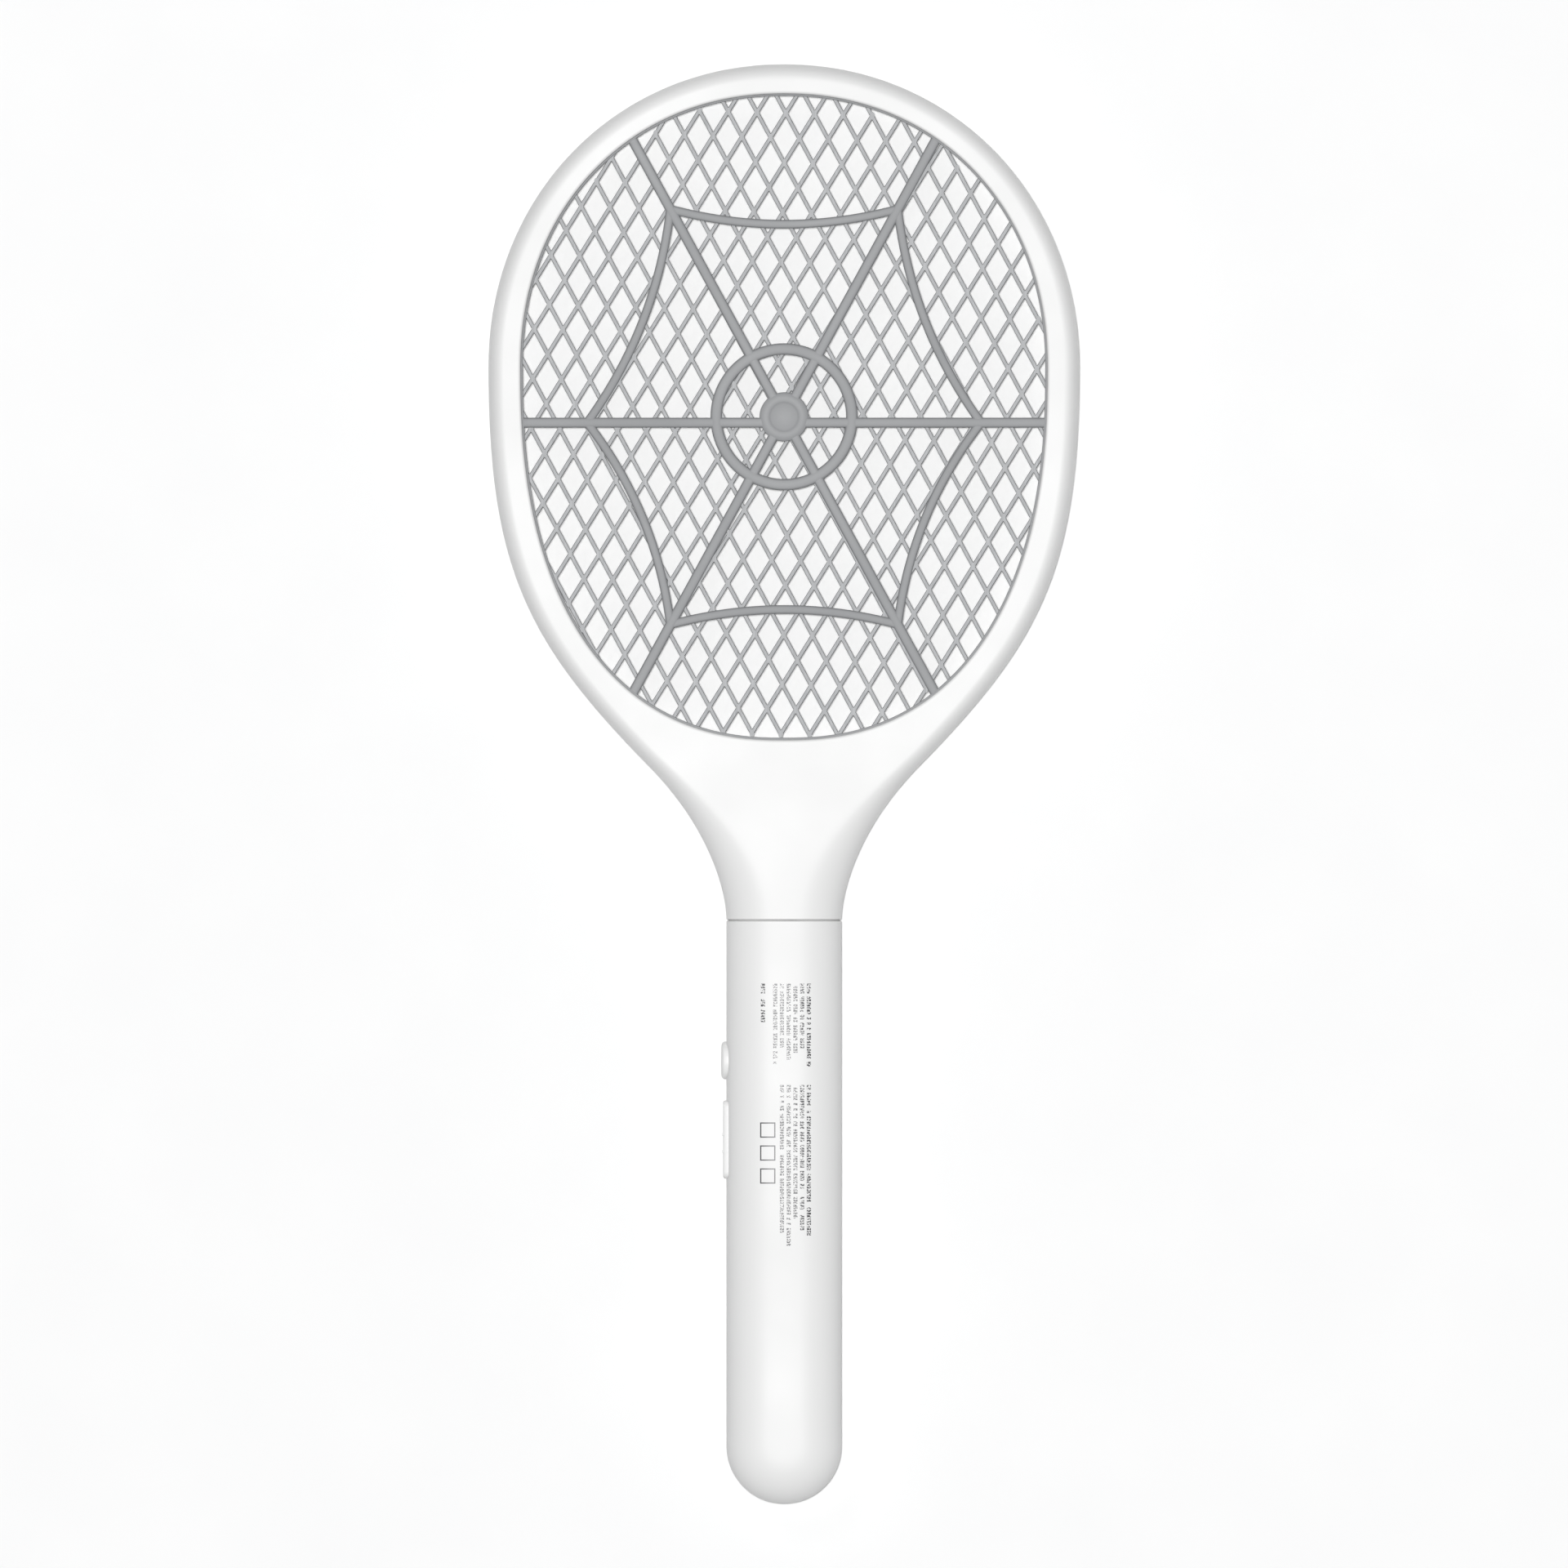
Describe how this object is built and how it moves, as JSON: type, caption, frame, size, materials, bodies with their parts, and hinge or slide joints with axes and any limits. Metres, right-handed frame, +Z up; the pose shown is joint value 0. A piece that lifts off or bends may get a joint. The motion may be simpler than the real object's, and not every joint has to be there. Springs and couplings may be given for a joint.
{
  "type": "electric fly swatter",
  "caption": "Racket-shaped electric fly swatter: oval head with three metal meshes behind web-shaped guards, oval handle with push button, slide switch and charging socket.",
  "frame": {"origin": "middle of the length and width, on the surface that the racket lies on, face down", "axes": "+X to the right seen from the back face, +Y from the butt towards the tip, +Z up out of the back face"},
  "size_m": [0.193, 0.4698, 0.027],
  "materials": {
    "shell_white": "satin injection-moulded ABS",
    "guard_grey": "moulded grey plastic",
    "mesh_metal": "punched and expanded sheet, light grey",
    "spacer_plastic": "moulded insulator",
    "button_plastic": "fine satin",
    "lens": "milky",
    "socket_steel": "drawn steel",
    "black_plastic": "moulded",
    "board_green": "solder mask",
    "ferrite": "sintered ferrite",
    "cream_plastic": "moulded",
    "copper": "enamelled copper wire",
    "film_red": "dipped epoxy",
    "sleeve_blue": "shrink sleeve",
    "switch_steel": "plated",
    "led_red": "clear tinted epoxy",
    "cell_wrap": "shrink wrap",
    "nickel": "nickel strip",
    "lead_red": "PVC",
    "lead_black": "PVC",
    "screw_steel": "zinc plated",
    "resistor_tan": "lacquered"
  },
  "bodies": {
    "racket": {"head_rear_shell": "shell_white", "head_front_shell": "shell_white", "rear_guard": "guard_grey", "front_guard": "guard_grey", "rear_mesh": "mesh_metal", "live_mesh": "mesh_metal", "front_mesh": "mesh_metal", "rear_spacer": "spacer_plastic", "front_spacer": "spacer_plastic", "handle_rear_shell": "shell_white", "handle_front_shell": "shell_white", "switch_plate": "button_plastic", "indicator_lens": "lens", "socket_shell": "socket_steel", "socket_tongue": "black_plastic", "charge_board": "board_green", "main_board": "board_green", "transformer_core": "ferrite", "transformer_bobbin": "cream_plastic", "transformer_winding": "copper", "hv_capacitor": "film_red", "filter_capacitor": "sleeve_blue", "switching_transistor": "black_plastic", "charge_chip": "black_plastic", "push_switch_body": "black_plastic", "slide_switch_body": "switch_steel", "status_led": "led_red", "battery_cell": "cell_wrap", "battery_tabs": "nickel", "hv_lead": "lead_red", "guard_leads": "lead_black", "battery_leads": "lead_black", "charge_leads": "lead_red", "board_screws": "screw_steel", "hv_diodes": "black_plastic", "resistors": "resistor_tan", "head_screw_1": "screw_steel", "head_screw_2": "screw_steel", "head_screw_3": "screw_steel", "head_screw_4": "screw_steel", "head_screw_5": "screw_steel", "head_screw_6": "screw_steel", "head_screw_7": "screw_steel", "head_screw_8": "screw_steel", "handle_screw_1": "screw_steel", "handle_screw_2": "screw_steel", "handle_screw_3": "screw_steel", "handle_screw_4": "screw_steel", "handle_screw_5": "screw_steel", "handle_screw_6": "screw_steel"},
    "button": {"push_button": "button_plastic", "push_switch_plunger": "cream_plastic"},
    "slider": {"slide_knob": "button_plastic", "slide_switch_lever": "cream_plastic"}
  },
  "joints": [
    {"name": "button_press", "type": "slide", "parent": "racket", "child": "button", "axis": [1, 0, 0], "range_m": [0, 0.0012], "stiffness_N_per_m": 600, "springref_m": -0.002},
    {"name": "switch_slide", "type": "slide", "parent": "racket", "child": "slider", "axis": [0, 1, 0], "range_m": [0, 0.002]}
  ]
}
